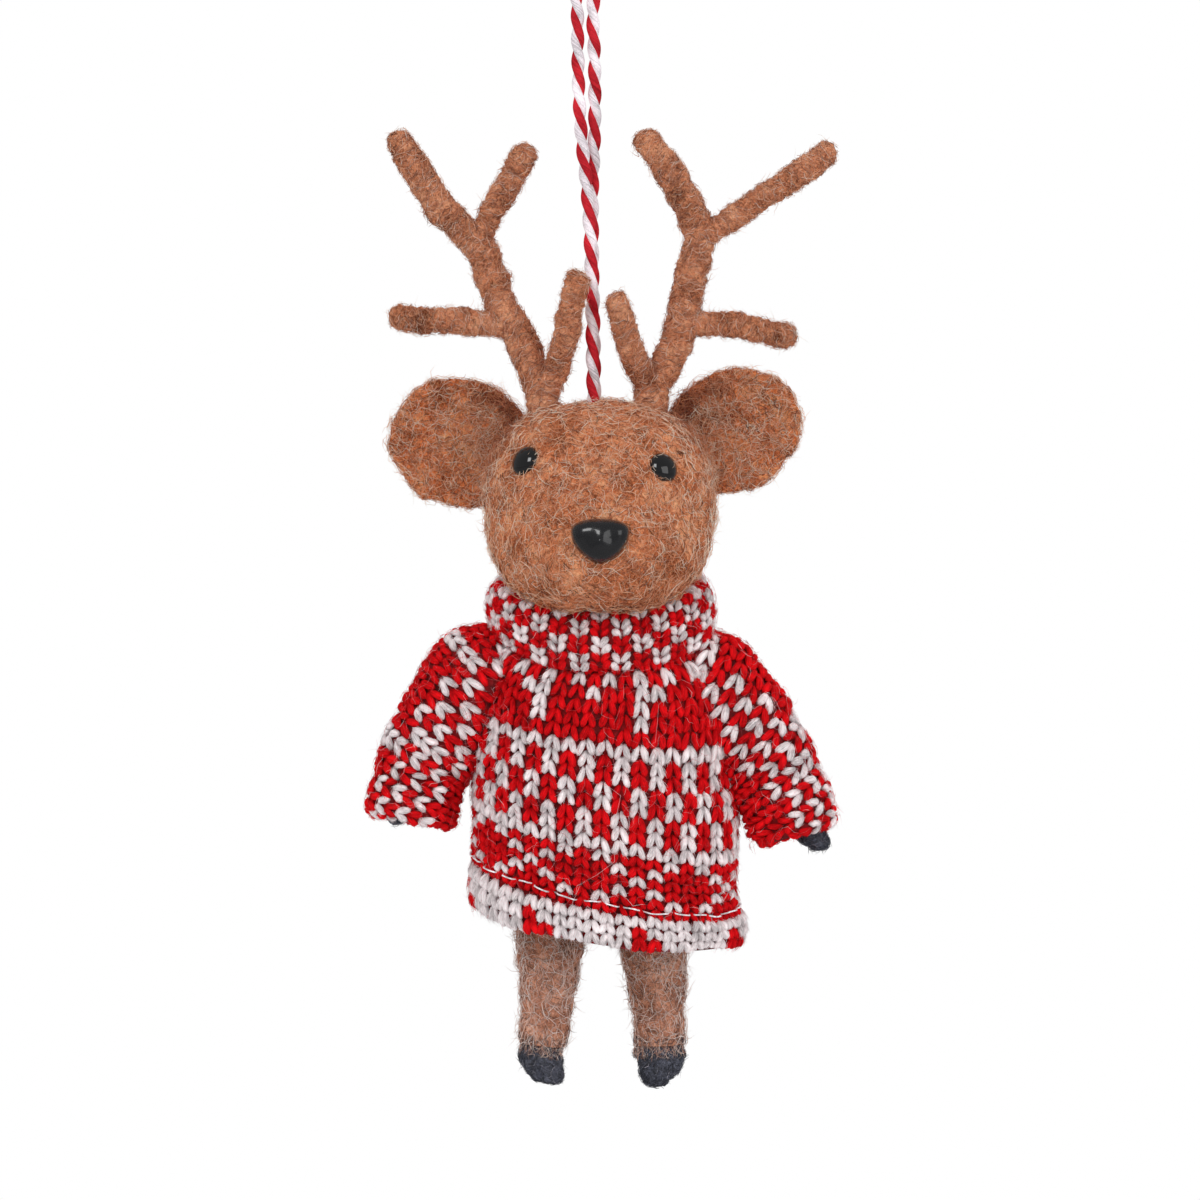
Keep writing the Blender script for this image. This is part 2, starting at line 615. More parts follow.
EAR_LENGTH = 20 * MM
EAR_BREADTH = 17.8 * MM
EAR_THICKNESS = 6.4 * MM
EAR_DISH = 4.4 * MM
EAR_HOLLOW = 7.5 * MM
EAR_HOLLOW_SHADE = 0.42
EAR_SETBACK = 2 * MM
EAR_JOINT_SHARE = 0.76
EAR_JOINT_REACH = 4.5 * MM
EARS = {  # spread and drop from the crown, tilt in turns, share of the breadth, first seed
    "left": (-19.4 * MM, 5.6 * MM, 0.045, 1, 20),
    "right": (18.52 * MM, 3.9 * MM, -0.075, 0.93, 30),
}
ear_felt = felt_material("ear_felt", (116, 50, 26), (230, 124, 72), (255, 184, 128))
for side, (spread, drop, tilt, broad, seed) in EARS.items():
    way = ball_ways(90, 120)[:, :, [1, 2, 0]]
    # the pad: an ellipsoid whose front is pushed back by dish * y^2
    x, y, z = np.moveaxis(way * [EAR_LENGTH / 2, EAR_THICKNESS / 2, EAR_BREADTH * broad / 2], -1, 0)
    y = y + np.where(way[..., 1] < 0, EAR_DISH * way[..., 1] ** 2, 0)
    lean = tilt * 2 * np.pi
    pad = np.stack([x * np.cos(lean) + z * np.sin(lean) + spread, y + EAR_SETBACK,
                    z * np.cos(lean) - x * np.sin(lean) - drop], axis=-1) + CROWN
    pad = matted(pad, [(5, 0.25), (1.8, 0.12), (0.8, 0.05)], seed)

    def ear_shadow(places, middle=CROWN + [spread * 0.72, 0, -drop + 1.5 * MM]):
        """The shade in the ear's inner hollow, less by the square of the distance."""
        far = np.linalg.norm((places - middle) * [1, 0, 1], axis=-1) / EAR_HOLLOW
        inside = places[..., 1] < middle[1] + 2 * MM
        return EAR_HOLLOW_SHADE * np.clip(1 - far**2, 0, 1) * inside

    def near_joint(places, joint=CROWN + [spread * EAR_JOINT_SHARE, 0, -drop]):
        """Which places lie along the line where the ear meets the head."""
        return np.linalg.norm((places - joint) * [1, 0.8, 0.55], axis=-1) < EAR_JOINT_REACH

    felted(f"{side}_ear", "felt", pad, ear_felt, f"{side}_ear", "felt_tan", "figure", 0.9,
           ear_shadow,
           curls=(wool_fibre, 4200, (1.9, 0.09, 0.2), 0.06, (0.52, 0.28, 0.1), seed + 5),
           hairs=(wool_fibre, 1600, (2.8, 0.07, 0.55), 0.36, (0.86, 0.12, 0.05), seed + 6))
    for part, base, amount in (("head", head_grid, 15000), ("ear", pad, 2400)):
        joint_hairs = fibres(f"{side}_{part}_joint_hairs", base, wool_fibre, amount,
                             (3.4, 0.07, 0.9), 0.55, (0.74, 0.16, 0.05), seed + 7,
                             keep=near_joint, shadow=ear_shadow)
        dress("felt_tan", "figure", joint_hairs)

# The eyes: black glass beads with a high polish, each glued by its wire stem into the felt.

EYE_RADIUS = 2.2 * MM
EYE_HALF_THICKNESS = 1.4 * MM
EYE_SINK = 0.5 * MM
EYE_STEM_RADIUS = 0.6 * MM
EYE_STEM_LENGTH = 3.5 * MM
EYES = {"left": (-0.117, 0.067), "right": (0.093, 0.057)}  # turn from ahead, lift from level


def gloss_material(name, colour, roughness, waviness=0.02 * MM):
    """Black moulded gloss: a faint waviness bends the reflections, and fine dust dulls it."""
    material, nodes, shader = new_material(name)
    place = nodes.place()
    dulled = nodes.remap(nodes.noise(place, 5000, 4), 0.5, 0.75, *roughness)
    nodes.feed(shader, {"Specular IOR Level": 0.5, "Coat Weight": 0.8, "Coat Roughness": 0.04,
                        "Roughness": dulled,
                        "Base Color": nodes.mix(dulled, dye(*colour), dye(30, 30, 34)),
                        "Normal": nodes.bump(nodes.noise(place, 260, 2), waviness, 0.4)})
    return material


def studded(profile, stem_radius, stem_length):
    """Rings of a rounded stud on a stem: the head's rings, then the stem's down to its end."""
    angle = turns(profile.shape[1])
    ring = np.stack([np.cos(angle), np.sin(angle), 0 * angle], axis=1) * stem_radius
    stem = ring[None] * np.array([1, 1, 0.6])[:, None, None]
    stem[..., 2] = np.array([profile[-1, 0, 2], -stem_length, -stem_length])[:, None]
    return np.concatenate([profile, stem])


eye_glass = gloss_material("eye_glass", (8, 8, 10), (0.04, 0.2))
for side, eye_turns in EYES.items():
    turn, lift = np.array(eye_turns) * 2 * np.pi
    way = np.array([np.sin(turn) * np.cos(lift), -np.cos(turn) * np.cos(lift), np.sin(lift)])
    bead = ball_ways(40, 64)[:36] * [EYE_RADIUS, EYE_RADIUS, EYE_HALF_THICKNESS]
    bead = studded(bead, EYE_STEM_RADIUS, EYE_STEM_LENGTH)
    # the bead's own Z turns to the way, and its X lies square to that and to the world's up
    level = unit(np.cross((0, 0, 1), way))
    bead = bead @ np.stack([level, np.cross(way, level), way]) + head_skin(way, -EYE_SINK)
    eye = skin(f"{side}_eye_bead", bead, eye_glass)
    dress("bead_gloss", "figure", eye)
    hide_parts(f"{side}_eye")

# The nose: a moulded black plastic safety nose with a broad flat top, a soft point below
# and two nostril dents, held by its straight stem in the felt.

NOSE_HALF_WIDTH = 3.85 * MM
NOSE_HALF_HEIGHT = 3.3 * MM
NOSE_DOME = 3.2 * MM
NOSE_SINK = 0.7 * MM
NOSE_DROP = 19.8 * MM
NOSE_STEM_RADIUS = 0.9 * MM
NOSE_STEM_LENGTH = 5 * MM
NOSTRIL_DEPTH = 0.4 * MM

lift = (np.pi / 2 * (1 - np.linspace(0, 1, 34)))[:, None]
angle = turns(72)[None, :]
# the outline is narrower below and flat on top; each ring is the outline times cos(lift)
rise = np.sin(angle)
tall = np.where(rise > 0, 0.9 * np.abs(rise) ** 0.72, rise)
nose_x = np.cos(angle) * (1 + 0.3 * rise) * np.cos(lift) * NOSE_HALF_WIDTH
nose_y = tall * np.cos(lift) * NOSE_HALF_HEIGHT
nose_z = np.sin(lift) ** 0.85 * NOSE_DOME + 0 * angle
for nostril in (-1.5 * MM, 1.5 * MM):
    dent = ((nose_x - nostril) / (0.9 * MM)) ** 2 + ((nose_y - 0.2 * MM) / (1.5 * MM)) ** 2
    nose_z = nose_z - NOSTRIL_DEPTH * np.exp(-dent)
nose_rings = studded(np.stack([nose_x, nose_y, nose_z], axis=-1), NOSE_STEM_RADIUS,
                     NOSE_STEM_LENGTH)
nose_way = unit(np.array([0, -1, 1 - NOSE_DROP / (HEAD_HEIGHT / 2)]))
# its own X and Y lie along the world's X and Z, and it looks to -Y
nose_points = nose_rings[..., [0, 2, 1]] * [1, -1, 1] + head_skin(nose_way, -NOSE_SINK)
nose_gloss = gloss_material("nose_gloss", (8, 9, 14), (0.24, 0.42))
nose_button = skin("nose_button", nose_points, nose_gloss)
dress("nose_gloss", "figure", nose_button)
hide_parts("nose")

# The antlers: branched wire wound with wool roving, each branch in turn, so that its turns
# show as soft slanting rings. The round tips are folded over and felted down.

ANTLER_HEIGHT = 38.5 * MM
ANTLER_REACH = 32.2 * MM
ANTLER_LEAN = 5.5 * MM
BEAM_RADIUS = 2.25 * MM
TINE_RADIUS = 1.8 * MM
WINDING_PITCH = 1.25 * MM
WINDING_RELIEF = 0.2 * MM
ANTLER_SHARES = {  # shares of the reach, of the lean and of the height
    "left": {
        "beam": [[0.236, 0, -0.09], [0.252, 0, 0.01], [0.292, 0.05, 0.117], [0.362, 0.1, 0.265],
                 [0.435, 0.15, 0.358], [0.496, 0.15, 0.522], [0.545, 0.1, 0.592],
                 [0.68, 0, 0.694], [0.774, -0.1, 0.81], [0.868, -0.1, 0.94]],
        "brow_tine": [[0.25, -0.05, 0], [0.224, -0.2, 0.057], [0.183, -0.4, 0.138],
                      [0.137, -0.8, 0.291], [0.102, -1, 0.43]],
        "side_tine": [[0.385, 0.1, 0.284], [0.413, 0.05, 0.281], [0.609, -0.15, 0.298],
                      [0.761, -0.2, 0.297], [0.866, -0.2, 0.312]],
        "fork_tine": [[0.541, 0.1, 0.592], [0.472, 0.05, 0.683], [0.402, 0, 0.792],
                      [0.329, -0.1, 0.897]],
    },
    "right": {
        "beam": [[0.216, 0, -0.09], [0.232, 0, 0.05], [0.294, 0.05, 0.153], [0.354, 0.1, 0.28],
                 [0.38, 0.15, 0.408], [0.413, 0.15, 0.522], [0.428, 0.1, 0.613],
                 [0.384, 0, 0.72], [0.298, -0.1, 0.847], [0.206, -0.1, 0.942]],
        "brow_tine": [[0.224, -0.05, 0.03], [0.174, -0.3, 0.117], [0.114, -0.6, 0.231],
                      [0.079, -0.85, 0.35]],
        "side_tine": [[0.354, 0.1, 0.278], [0.398, 0.05, 0.285], [0.59, -0.1, 0.28],
                      [0.74, -0.2, 0.252], [0.8, -0.2, 0.243]],
        "fork_tine": [[0.428, 0.1, 0.61], [0.52, 0.05, 0.646], [0.702, -0.05, 0.746],
                      [0.892, -0.1, 0.847], [0.977, -0.1, 0.904]],
    },
}
BEAM_SWELL = ([0, 0.2, 0.5, 0.62, 0.9, 1], [1.08, 0.98, 1, 0.96, 0.92, 0.82])
TINE_SWELL = ([0, 0.3, 0.7, 1], [0.95, 0.95, 1, 0.94])
WRAP_TINTS = {0: (92, 48, 30), 0.35: (182, 108, 76), 0.7: (222, 156, 120),
              0.88: (242, 194, 166), 1: (255, 234, 218)}
SIGNS = {"left": -1, "right": 1}


def domed(path, radius, steps=7, root=False):
    """A path and its radii with a round dome on its far end, or else on its root.

    Each dome ring lies sin(latitude) * radius further on and is cos(latitude) as wide.
    """
    if root:
        path, radius = domed(path[::-1], radius[::-1], steps)
        return path[::-1], radius[::-1]
    latitude = np.arange(1, steps + 1) / (steps + 0.5) * np.pi / 2
    tip = path[-1] + np.sin(latitude)[:, None] * radius[-1] * unit(path[-1] - path[-2])
    return np.vstack([path, tip]), np.concatenate([radius, np.cos(latitude) * radius[-1]])


def wound(path, radius, seed, pitch=WINDING_PITCH, relief=WINDING_RELIEF, sides=40):
    """Wool wound round a path: a tube whose radius rises in a slanting ring at each turn.

    The ridge is relief * |cos(pi * way / pitch + angle / 2 + drift)|, where drift is a slow
    uneven noise, and lumps of felt are laid over it.
    """
    plain = tube_grid(path, radius, sides)
    drift = 1.1 * lumps(plain, 6 * MM, seed)
    ridge = np.abs(np.cos(np.pi * path_way(path)[:, None] / pitch + turns(sides) / 2 + drift))
    return matted(plain + grid_normals(plain) * (relief * (ridge - 0.6))[..., None],
                  [(3.5, 0.16), (1.1, 0.07)], seed + 1)


wrapped_wool = felt_material("wound_wool", (108, 56, 34), (210, 130, 92), (246, 182, 142))
wrapped_fibre = fibre_material("wound_fibre", WRAP_TINTS)
for side, branches in ANTLER_SHARES.items():
    scale = [SIGNS[side] * ANTLER_REACH, ANTLER_LEAN, ANTLER_HEIGHT]
    for order, (branch, shares) in enumerate(branches.items()):
        beam = branch == "beam"
        girth = BEAM_RADIUS if beam else TINE_RADIUS
        path = smooth_path(np.array(shares) * scale + CROWN, 110 if beam else 64)
        swell = np.interp(np.linspace(0, 1, len(path)), *(BEAM_SWELL if beam else TINE_SWELL))
        seed = 100 + 10 * order + (50 if side == "right" else 0)
        grid = wound(*domed(path, girth * swell), seed)
        amount = int(path_way(path)[-1] * girth / (MM * MM) * 24)
        felted(f"{side}_{branch}", "wool", grid, wrapped_wool, f"{side}_antler_{branch}",
               "wool_wrap", "figure",
               curls=(wrapped_fibre, amount, (2, 0.08, 0.14), 0.04, (0.5, 0.28, 0.1),
                      seed + 2, 0.25, 0.4),
               hairs=(wrapped_fibre, amount // 4, (2.4, 0.06, 0.3), 0.3, (0.88, 0.1, 0.05),
                      seed + 3, 0.3, 0.7))

# The body: a firm felted torso with a neck stub, hidden by the jumper except from below.

TORSO_HALF_WIDTH = 15.2 * MM
TORSO_HALF_DEPTH = 10.5 * MM
TORSO_LENGTH = 34.6 * MM
TORSO_TOP = -26 * MM
TORSO_WIDTH_SHARES = ([0, 0.1, 0.17, 0.25, 0.38, 0.6, 0.8, 0.9, 0.97, 1],
                      [0.5, 0.54, 0.62, 0.78, 0.92, 1, 0.99, 0.9, 0.7, 0.5])
TORSO_DEPTH_SHARES = ([0, 0.17, 0.3, 1], [1.25, 1.15, 1, 1])

share = np.linspace(0, 1, 70)[:, None]
angle = turns(90)[None, :]
girth = np.interp(share, *TORSO_WIDTH_SHARES)
torso_grid = CROWN + np.stack([
    np.cos(angle) * girth * TORSO_HALF_WIDTH,
    np.sin(angle) * girth * np.interp(share, *TORSO_DEPTH_SHARES) * TORSO_HALF_DEPTH,
    TORSO_TOP - share * TORSO_LENGTH + 0 * angle,
], axis=-1)
torso_grid = matted(torso_grid, [(6, 0.2), (2, 0.1)], 40)
felted("torso", "felt", torso_grid, wool, "torso", "felt_tan", "figure")

# The jumper's body: a tube of fine two-colour wool knitting, pulled on over the felt, with
# a hole on either side where a sleeve is sewn in. Its stitches stand point upwards.

JUMPER_HALF_WIDTH = 18.5 * MM
JUMPER_HALF_DEPTH = 13.8 * MM
JUMPER_LENGTH = 42.4 * MM
JUMPER_WIDTH_SHARES = ([0, 0.04, 0.09, 0.16, 0.26, 0.6, 0.84, 1],
                       [0.73, 0.76, 0.86, 0.95, 0.98, 1, 1, 1.01])
JUMPER_DEPTH_SHARES = ([0, 0.04, 0.09, 0.16, 0.26, 0.5, 0.84, 1],
                       [0.82, 0.85, 0.9, 0.94, 0.97, 1, 1, 1.02])
HEM_FRONT_DROP = 2.6 * MM
HEM_SIDE_DROP = 2.4 * MM
HEM_SIDE_SHIFT = 1 * MM
COLLAR_DROP = 28 * MM
COLLAR_FRONT_DROP = 5 * MM
COLLAR_BACK_RISE = 3.6 * MM
COLLAR_HALF_HEIGHT = 3.7 * MM
COLLAR_FRONT_GROWTH = 0.9 * MM
COLLAR_OVERHANG = 1.6 * MM
CLOTH_THICKNESS = 0.9 * MM
FOLDS = [(9, 0.3)]
WALES = 40
ROWS = 20
TALL_ROWS = 14
TALL_ROWS_SHARE = 0.76
WALE_LEAN = (0.75, -2.2, 1.15)
ROW_SAG = 0.055
BAND_START = 0.877
BAND_SLANT = 0.036
YARN_DIAMETER = 0.98 * MM
STITCH_REACH = 1.26
LOBE_SIDES = 7
LOBES_PART = (0.05, 0.4)  # how far a stitch's lobes lie apart at its apex and at its foot
# a lobe's share of its length, and there its swell and its rise in shares of the diameter
LOBE_SHARES = np.array([[0, 0, -0.36], [0.08, 0.5, -0.22], [0.25, 0.86, 0.0], [0.5, 1.03, 0.16],
                        [0.75, 1.0, 0.18], [0.92, 0.66, 0.06], [1, 0, -0.12]])
HALO_HAIRS = 16
HALO_LENGTH = 1 * MM
HALO_WIDTH = 0.05 * MM
RED_YARN = dye(232, 18, 26)
WHITE_YARN = dye(255, 244, 245)
FUZZ_TINTS = {0: (120, 12, 18), 0.45: (196, 34, 42), 0.7: (226, 104, 110),
              0.88: (240, 196, 200), 1: (252, 240, 242)}
SLEEVE_LENGTH = 19.5 * MM
SLEEVE_ROOT_RADIUS = 8.7 * MM
CUFF_RADIUS = 6.4 * MM
ARMHOLE_INSET = 3.4 * MM
SHOULDER = np.array([17.6, 0, -40.4]) * MM
SLEEVE_TAPER = ([0, 0.2, 0.45, 0.7, 1], [0, 0.3, 0.75, 1, 1])
SLEEVE_DEPTH = 0.88
SLEEVE_SHARES = {
    "left": [[-0.04, 0, -0.04], [0.19, 0.01, 0.25], [0.35, 0.03, 0.52], [0.43, 0.05, 0.76],
             [0.465, 0.06, 0.93]],
    "right": [[-0.15, 0, 0], [0.14, 0.01, 0.3], [0.315, 0.03, 0.54], [0.425, 0.05, 0.8],
              [0.5, 0.06, 1.03]],
}


def collar_level(angle):
    """The collar's middle height: it dips by one depth in front and rises by another behind."""
    front = -np.sin(angle)
    return -COLLAR_DROP - np.where(front > 0, COLLAR_FRONT_DROP, COLLAR_BACK_RISE) * front


def collar_half(angle):
    """Half the collar's height, a little more in front."""
    return COLLAR_HALF_HEIGHT + COLLAR_FRONT_GROWTH * np.clip(-np.sin(angle), 0, 1)


def jumper_ends(angle):
    """The heights of the jumper's neck edge and of its hem at an angle round the body."""
    under = 1 - COLLAR_OVERHANG / COLLAR_HALF_HEIGHT
    neck = collar_level(angle) - under * collar_half(angle)
    side_neck = -COLLAR_DROP - under * COLLAR_HALF_HEIGHT
    hem = side_neck - JUMPER_LENGTH + np.clip(np.sin(angle), -1, 0) * HEM_FRONT_DROP
    return neck, hem - HEM_SIDE_DROP * np.cos(angle)


def jumper_halves(share):
    """Half the jumper's width and half its depth at a share of the way down."""
    return (JUMPER_HALF_WIDTH * np.interp(share, *JUMPER_WIDTH_SHARES),
            JUMPER_HALF_DEPTH * np.interp(share, *JUMPER_DEPTH_SHARES))


def band_top(angle):
    """The share of the way down at which the hem band starts, lower on the right."""
    return BAND_START + BAND_SLANT * np.cos(angle)


def jumper_skin(share, inset):
    """The jumper round the body at a share of the way down, moved in by an inset.

    Each level is an ellipse, the height runs straight from the neck's wavy edge to the
    hem's, and soft folds are laid over it.
    """
    neck, hem = jumper_ends(angle)
    wide, deep = jumper_halves(share)
    plain = CROWN + np.stack([np.cos(angle) * (wide - inset) + HEM_SIDE_SHIFT * share,
                              np.sin(angle) * (deep - inset), neck + (hem - neck) * share], -1)
    return matted(plain, FOLDS, 60)


def cloth_wall(name, outer, inner):
    """A closed mesh of plain cloth between an outer and an inner grid."""
    wall = np.concatenate([outer, inner[::-1]])
    faces = [grid_quads(*wall.shape[:2], closed=True)]
    return put_mesh(name, wall.reshape(-1, 3), faces, cloth)


def cloth_size(grid, ring, column):
    """How long one ring of a grid is all round, and one column from top to foot."""
    girth = path_way(np.vstack([grid[ring], grid[ring][:1]]))[-1]
    return np.array([girth, path_way(grid[:, column])[-1]])


def cloth_map(grid):
    """A function that lays flat cloth on a grid: x and y are shares across and down, h a height.

    x is spread evenly by the length of the middle ring and y by that of the front column. The
    place between grid points is bilinear, and h is measured along the normal there. Past an
    end the last step runs on.
    """
    normals = grid_normals(grid)
    rows, columns = grid.shape[:2]
    middle = grid[rows // 2]
    way = path_way(np.vstack([middle, middle[:1]]))
    descent = path_way(grid[:, columns * 3 // 4])
    way, descent = way / way[-1], descent / descent[-1]

    def onto(x, y, h):
        column = np.interp(np.mod(x, 1), way, np.arange(columns + 1))
        beyond = np.where(y < 0, y / descent[1], np.maximum(y - 1, 0) / (1 - descent[-2]))
        row = np.interp(y, descent, np.arange(rows)) + beyond
        left = np.floor(column).astype(int)
        upper = np.clip(np.floor(row), 0, rows - 2).astype(int)
        place = (upper, left % columns, (column - left)[..., None], (row - upper)[..., None])
        return between(grid, *place) + unit(between(normals, *place)) * h[..., None]

    return onto


def knit(name, onto, size, apex, fall, white, wale, row, seed, keep=None):
    """Knit stitches on a cloth: two leaning yarn lobes each, that part from a shared point.

    In the flat cloth a lobe's middle runs from apex to apex + reach * fall, while it moves
    out to either side from the first to the second share of a wale. It dives at the apex
    under the row above, lies on top at the foot, and swells in between. Short straight hairs
    stand off it for the yarn's halo. onto bends it all over the form.
    """
    rng = np.random.default_rng(seed)
    apex = np.repeat(apex, 2, axis=0)
    dyed = np.repeat(white.astype(float), 2)
    sign = np.tile([-1.0, 1.0], len(apex) // 2)

    def laid(place, rise):
        return onto(place[..., 0] / size[0], place[..., 1] / size[1], rise)

    def spindle(values):
        body = values[:, 1:-1].reshape(count, -1, 3)
        return np.concatenate([values[:, 0, :1], body, values[:, -1, :1]], axis=1)

    if keep is not None:
        kept = keep(laid(apex + 0.8 * row * fall, 0 * sign))
        apex, dyed, sign = apex[kept], dyed[kept], sign[kept]
    count = len(apex)
    apex = apex + rng.normal(0, 0.035, (count, 2)) * wale
    t, swell, climb = LOBE_SHARES.T
    side = np.array([-fall[1], fall[0]])
    reach = STITCH_REACH * row * rng.uniform(0.94, 1.07, (count, 1))
    parting = (LOBES_PART[1] - LOBES_PART[0]) * wale
    part = LOBES_PART[0] * wale + parting * t
    out = sign[:, None] * part[None] * rng.uniform(0.93, 1.07, (count, 1))
    lean = np.arctan2(sign * parting, STITCH_REACH * row)[:, None]
    height = YARN_DIAMETER * climb[None] + rng.normal(0, 0.05 * MM, (count, 1))
    radius = YARN_DIAMETER / 2 * swell[None] * rng.uniform(0.9, 1.08, (count, 1))
    flat = apex[:, None] + (reach * t)[..., None] * fall + out[..., None] * side
    broad = np.cos(lean) * side - np.sin(lean) * fall
    along = np.cos(lean) * fall + np.sin(lean) * side
    corner = turns(LOBE_SIDES)
    radius = radius[..., None] * rng.normal(1, 0.07, (count, len(t), LOBE_SIDES))
    spoke = (radius * np.cos(corner))[..., None]
    rings = laid(flat[:, :, None] + spoke * broad[:, None, None],
                 height[..., None] + 0.85 * radius * np.sin(corner))
    drawn_out = t[None, :, None] * 2.2 + rng.uniform(0, 40, (count, 1, 1))
    strand = np.stack(np.broadcast_arrays(np.cos(corner), np.sin(corner), drawn_out), axis=-1)
    points = spindle(rings)
    marks = {"dyed": np.repeat(dyed, points.shape[1]), "strand": spindle(strand).reshape(-1, 3)}
    stitches = put_mesh(f"{name}_stitches", points.reshape(-1, 3),
                        spindle_faces(count, len(t) - 2, LOBE_SIDES), yarn, marks)

    # the halo: each hair is two points and a ring of three corners between them
    shape = (count, HALO_HAIRS)
    start = rng.uniform(0.04, 0.94, shape)
    round_lobe = rng.uniform(0.05 * np.pi, 0.95 * np.pi, shape)
    thick = YARN_DIAMETER / 2 * np.interp(start, t, swell)
    place = apex[:, None] + (reach * start)[..., None] * fall
    place = place + (sign[:, None] * np.interp(start, t, part))[..., None] * side
    place = place + (thick * np.cos(round_lobe))[..., None] * broad[:, None]
    rise = YARN_DIAMETER * np.interp(start, t, climb) + 0.85 * thick * np.sin(round_lobe)
    turn = rng.normal(0, 0.6, shape)[..., None]
    half = HALO_LENGTH / 2 * rng.uniform(0.5, 1.5, shape)
    lift = half * rng.uniform(-0.1, 0.75, shape)
    step = half[..., None] * (np.cos(turn) * along[:, None] + np.sin(turn) * broad[:, None])
    spokes = np.array([[1, 0, 0], [-0.5, 0, 0.87], [-0.5, 0, -0.87]]) * HALO_WIDTH / 2
    hairs = np.concatenate([
        laid(place - step, rise - 0.1 * half)[:, :, None],
        laid(place, rise + 0.5 * lift + 0.02 * MM)[:, :, None] + spokes,
        laid(place + step, rise + lift)[:, :, None],
    ], axis=2)
    marks = {"dyed": np.repeat(dyed, 5 * HALO_HAIRS),
             "strand": np.repeat(rng.uniform(0, 60, (count * HALO_HAIRS, 3)), 5, axis=0)}
    halo = put_mesh(f"{name}_halo", hairs.reshape(-1, 3),
                    spindle_faces(count * HALO_HAIRS, 1, 3), yarn, marks)
    return [stitches, halo]


def knit_tube(name, onto, size, wales, rows, chart, seed, slack=0, shift=0, keep=None):
    """A tube of knitting, coloured by a chart of its wales and rows.

    slack is how many rows more would fit the tube, and shift turns it by so many wales.
    """
    wale, row = size / [wales, rows + slack]
    across, down = np.meshgrid(np.arange(wales), np.arange(rows), indexing="ij")
    across, down = across.ravel(), down.ravel()
    apex = np.stack([across * wale + shift * wale, down * row], axis=1)
    return knit(name, onto, size, apex, np.array([0, 1.0]), chart(across, down), wale, row,
                seed, keep)


def winter_chart(wale, row):
    """Which stitches are white in the jumper's traditional pattern, by wale and row.

    From the neck down: a sprinkling, a red band crossed by a bar in every sixth wale, bars
    in the odd wales twice over with short bars between them, and a row of crosses.
    """
    odd = wale % 2 == 1
    turn = np.abs((wale + 1) % 6 - 3)
    sprinkled = ~odd & (row == 1) | odd & (row == 2) & (wale % 4 == 1)
    bars = (turn == 0) & (row >= 2) & (row <= 4)
    tall = odd & np.isin(row, [7, 8, 11, 12])
    short = ~odd & np.isin(row, [9, 10])
    crosses = (turn < 3) & (np.abs(row - 16) == turn)
    return sprinkled | bars | np.isin(row, [6, 13]) | tall | short | crosses


def cut_away(piece, cutter):
    """Cuts one closed mesh out of another by a boolean difference, and deletes the cutter."""
    knife = piece.modifiers.new("cut", "BOOLEAN")
    knife.operation = "DIFFERENCE"
    knife.solver = "EXACT"
    knife.object = cutter
    graph = bpy.context.evaluated_depsgraph_get()
    carved = bpy.data.meshes.new_from_object(piece.evaluated_get(graph))
    piece.modifiers.clear()
    piece.data = carved
    bpy.data.objects.remove(cutter)


def arm_places(side, shares, length):
    """Places along an arm or its sleeve, from shares of its length out, forward and down."""
    out, forward, down = np.array(shares).T * length
    return CROWN + np.stack([SIGNS[side] * (SHOULDER[0] + out), SHOULDER[1] - forward,
                             SHOULDER[2] - down], axis=1)


def tapered(places, count, root, tip, taper):
    """A smooth path through places, with radii that go from root to tip by a taper's shares."""
    narrow = np.interp(np.linspace(0, 1, count), *taper)
    return smooth_path(places, count), root - (root - tip) * narrow


def sleeve_core(side, count):
    """The path and the radii of a sleeve's outer skin, from the shoulder to the cuff."""
    places = arm_places(side, SLEEVE_SHARES[side], SLEEVE_LENGTH)
    return tapered(places, count, SLEEVE_ROOT_RADIUS, CUFF_RADIUS, SLEEVE_TAPER)


def sleeve_tube(side, inset, count=60, sides=72, roll=0.0):
    """The sleeve's rings at an inset, from a round dome in the shoulder to the cuff.

    With a roll, the cuff's edge turns in: roll * sin further along and roll * (1 - cos)
    further in, over 140 degrees.
    """
    path, radius = sleeve_core(side, count)
    path, radius = domed(path, radius - inset, 12, root=True)
    if not roll:
        return tube_grid(path, radius, sides, depth=SLEEVE_DEPTH)
    bend = np.radians(np.linspace(20, 140, 7))
    edge = path[-1] + (roll * (np.sin(bend) - 1))[:, None] * unit(path[-1] - path[-2])
    path = np.vstack([path[:-2], edge])
    radius = np.append(radius[:-2], radius[-3] - roll * (1 - np.cos(bend)))
    tube = tube_grid(path, radius, sides, depth=SLEEVE_DEPTH)
    # past the turn the path runs back, so those rings are made square to its last way
    spokes = tube_grid(path[-9:-7], 1, sides, depth=SLEEVE_DEPTH)[-1] - path[-8]
    tube[-7:] = path[-7:, None] + radius[-7:, None, None] * spokes[None]
    return tube


def outside_jumper(places):
    """Which places lie outside the jumper's body, by its ellipse at their height."""
    x, y, z = np.moveaxis(places - CROWN, -1, 0)
    neck, hem = jumper_ends(np.arctan2(y / JUMPER_HALF_DEPTH, x / JUMPER_HALF_WIDTH))
    share = np.clip((z - neck) / (hem - neck), 0, 1)
    wide, deep = jumper_halves(share)
    return ((x - HEM_SIDE_SHIFT * share) / wide) ** 2 + (y / deep) ** 2 > 0.94


def outside_sleeves(places):
    """Which places lie outside both sleeves' bores, for the jumper's stitches."""
    clear = np.ones(len(places), bool)
    for side in SIGNS:
        path, radius = sleeve_core(side, 30)
        gap = np.linalg.norm(places[:, None] - path[None], axis=-1) - radius[None]
        clear &= gap.min(axis=1) > 0.4 * MM - ARMHOLE_INSET
    return clear


